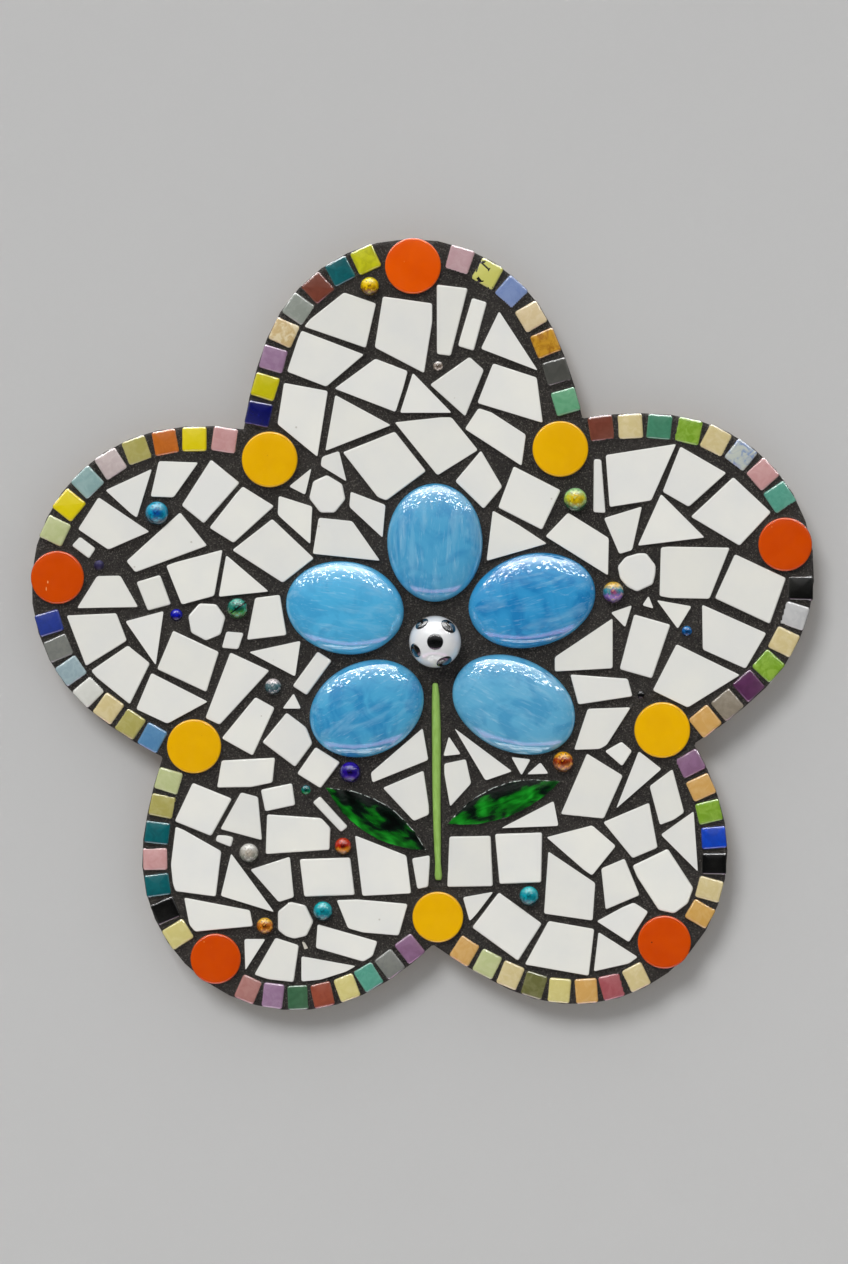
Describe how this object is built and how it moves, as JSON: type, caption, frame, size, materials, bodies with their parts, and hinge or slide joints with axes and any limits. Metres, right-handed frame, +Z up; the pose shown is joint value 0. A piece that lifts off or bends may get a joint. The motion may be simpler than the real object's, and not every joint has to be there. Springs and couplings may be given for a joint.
{
  "type": "mosaic wall panel",
  "caption": "Flower-shaped mosaic wall panel: a flat board set with broken white tile, small border squares, round discs, glass gems, a stem with leaves and beads in dark grout.",
  "frame": {"origin": "on the flat back face that rests on the wall, behind the gap between the petals of the glass flower", "axes": "+Y points into the wall, square to the panel; +Z is up along the stem; +X is to the right as seen from the front, which faces -Y"},
  "size_m": [0.2999, 0.0303, 0.2955],
  "materials": {
    "board": "sawn fibreboard, grout on its edge",
    "grout_and_tiles": "glossy white and coloured glazed tile in sandy charcoal grout",
    "orange_discs": "glossy glaze",
    "yellow_discs": "glossy glaze",
    "petal_gems": "opaque sky-blue lustre glass, streaky",
    "centre_bead": "opaque white glass with black dots",
    "stem": "opaque light green glass rod",
    "leaves": "dark green streaky glass with cut edges",
    "beads": "lustred glass in several colours"
  },
  "bodies": {
    "root": {"backing_board": "board", "grout_and_tiles": "grout_and_tiles", "orange_disc_top": "orange_discs", "orange_disc_left": "orange_discs", "orange_disc_lower_left": "orange_discs", "orange_disc_lower_right": "orange_discs", "orange_disc_right": "orange_discs", "yellow_disc_top_right": "yellow_discs", "yellow_disc_top_left": "yellow_discs", "yellow_disc_left": "yellow_discs", "yellow_disc_bottom": "yellow_discs", "yellow_disc_right": "yellow_discs", "petal_gem_top": "petal_gems", "petal_gem_upper_left": "petal_gems", "petal_gem_upper_right": "petal_gems", "petal_gem_lower_left": "petal_gems", "petal_gem_lower_right": "petal_gems", "centre_bead": "centre_bead", "stem_rod": "stem", "leaf_left": "leaves", "leaf_right": "leaves", "bead_yellow_top": "beads", "bead_rose_top": "beads", "bead_lime_upper_right": "beads", "bead_rainbow_right": "beads", "bead_blue_right": "beads", "bead_black_right": "beads", "bead_amber_right": "beads", "bead_teal_lower_right": "beads", "bead_teal_lower_left": "beads", "bead_amber_lower_left": "beads", "bead_red_lower_left": "beads", "bead_pearl_lower_left": "beads", "bead_green_left_of_leaf": "beads", "bead_purple_left_of_stem": "beads", "bead_silver_left": "beads", "bead_green_left": "beads", "bead_blue_left": "beads", "bead_teal_upper_left": "beads", "bead_plum_far_left": "beads"}
  },
  "joints": []
}
